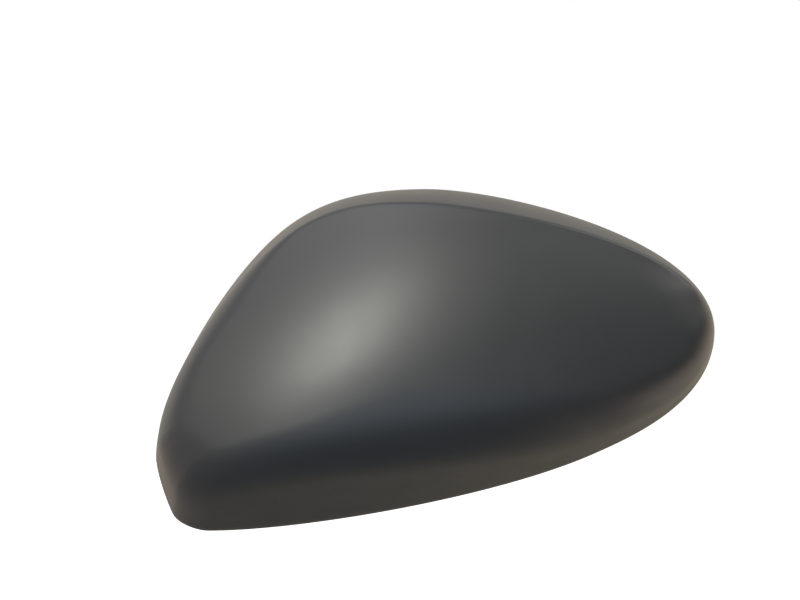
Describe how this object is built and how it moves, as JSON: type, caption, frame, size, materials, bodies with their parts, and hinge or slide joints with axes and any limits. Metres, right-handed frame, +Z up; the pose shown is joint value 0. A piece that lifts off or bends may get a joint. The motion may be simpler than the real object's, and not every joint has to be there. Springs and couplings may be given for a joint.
{
  "type": "wing mirror cover",
  "caption": "Thin moulded cap that clips over the back of a car's wing mirror head, with snap hooks and locating pins inside.",
  "frame": {"origin": "on the axis of the main locating pin, at the face of the boss that the pin leaves", "axes": "+X from the inboard side to the outer tip, +Z up as on the car, +Y rearward, the way the open back faces; the painted crown faces -Y"},
  "size_m": [0.232, 0.0794, 0.142],
  "materials": {
    "primed_shell": "satin dark grey primer on moulded ABS"
  },
  "bodies": {
    "root": {"mirror_cover": "primed_shell"}
  },
  "joints": []
}
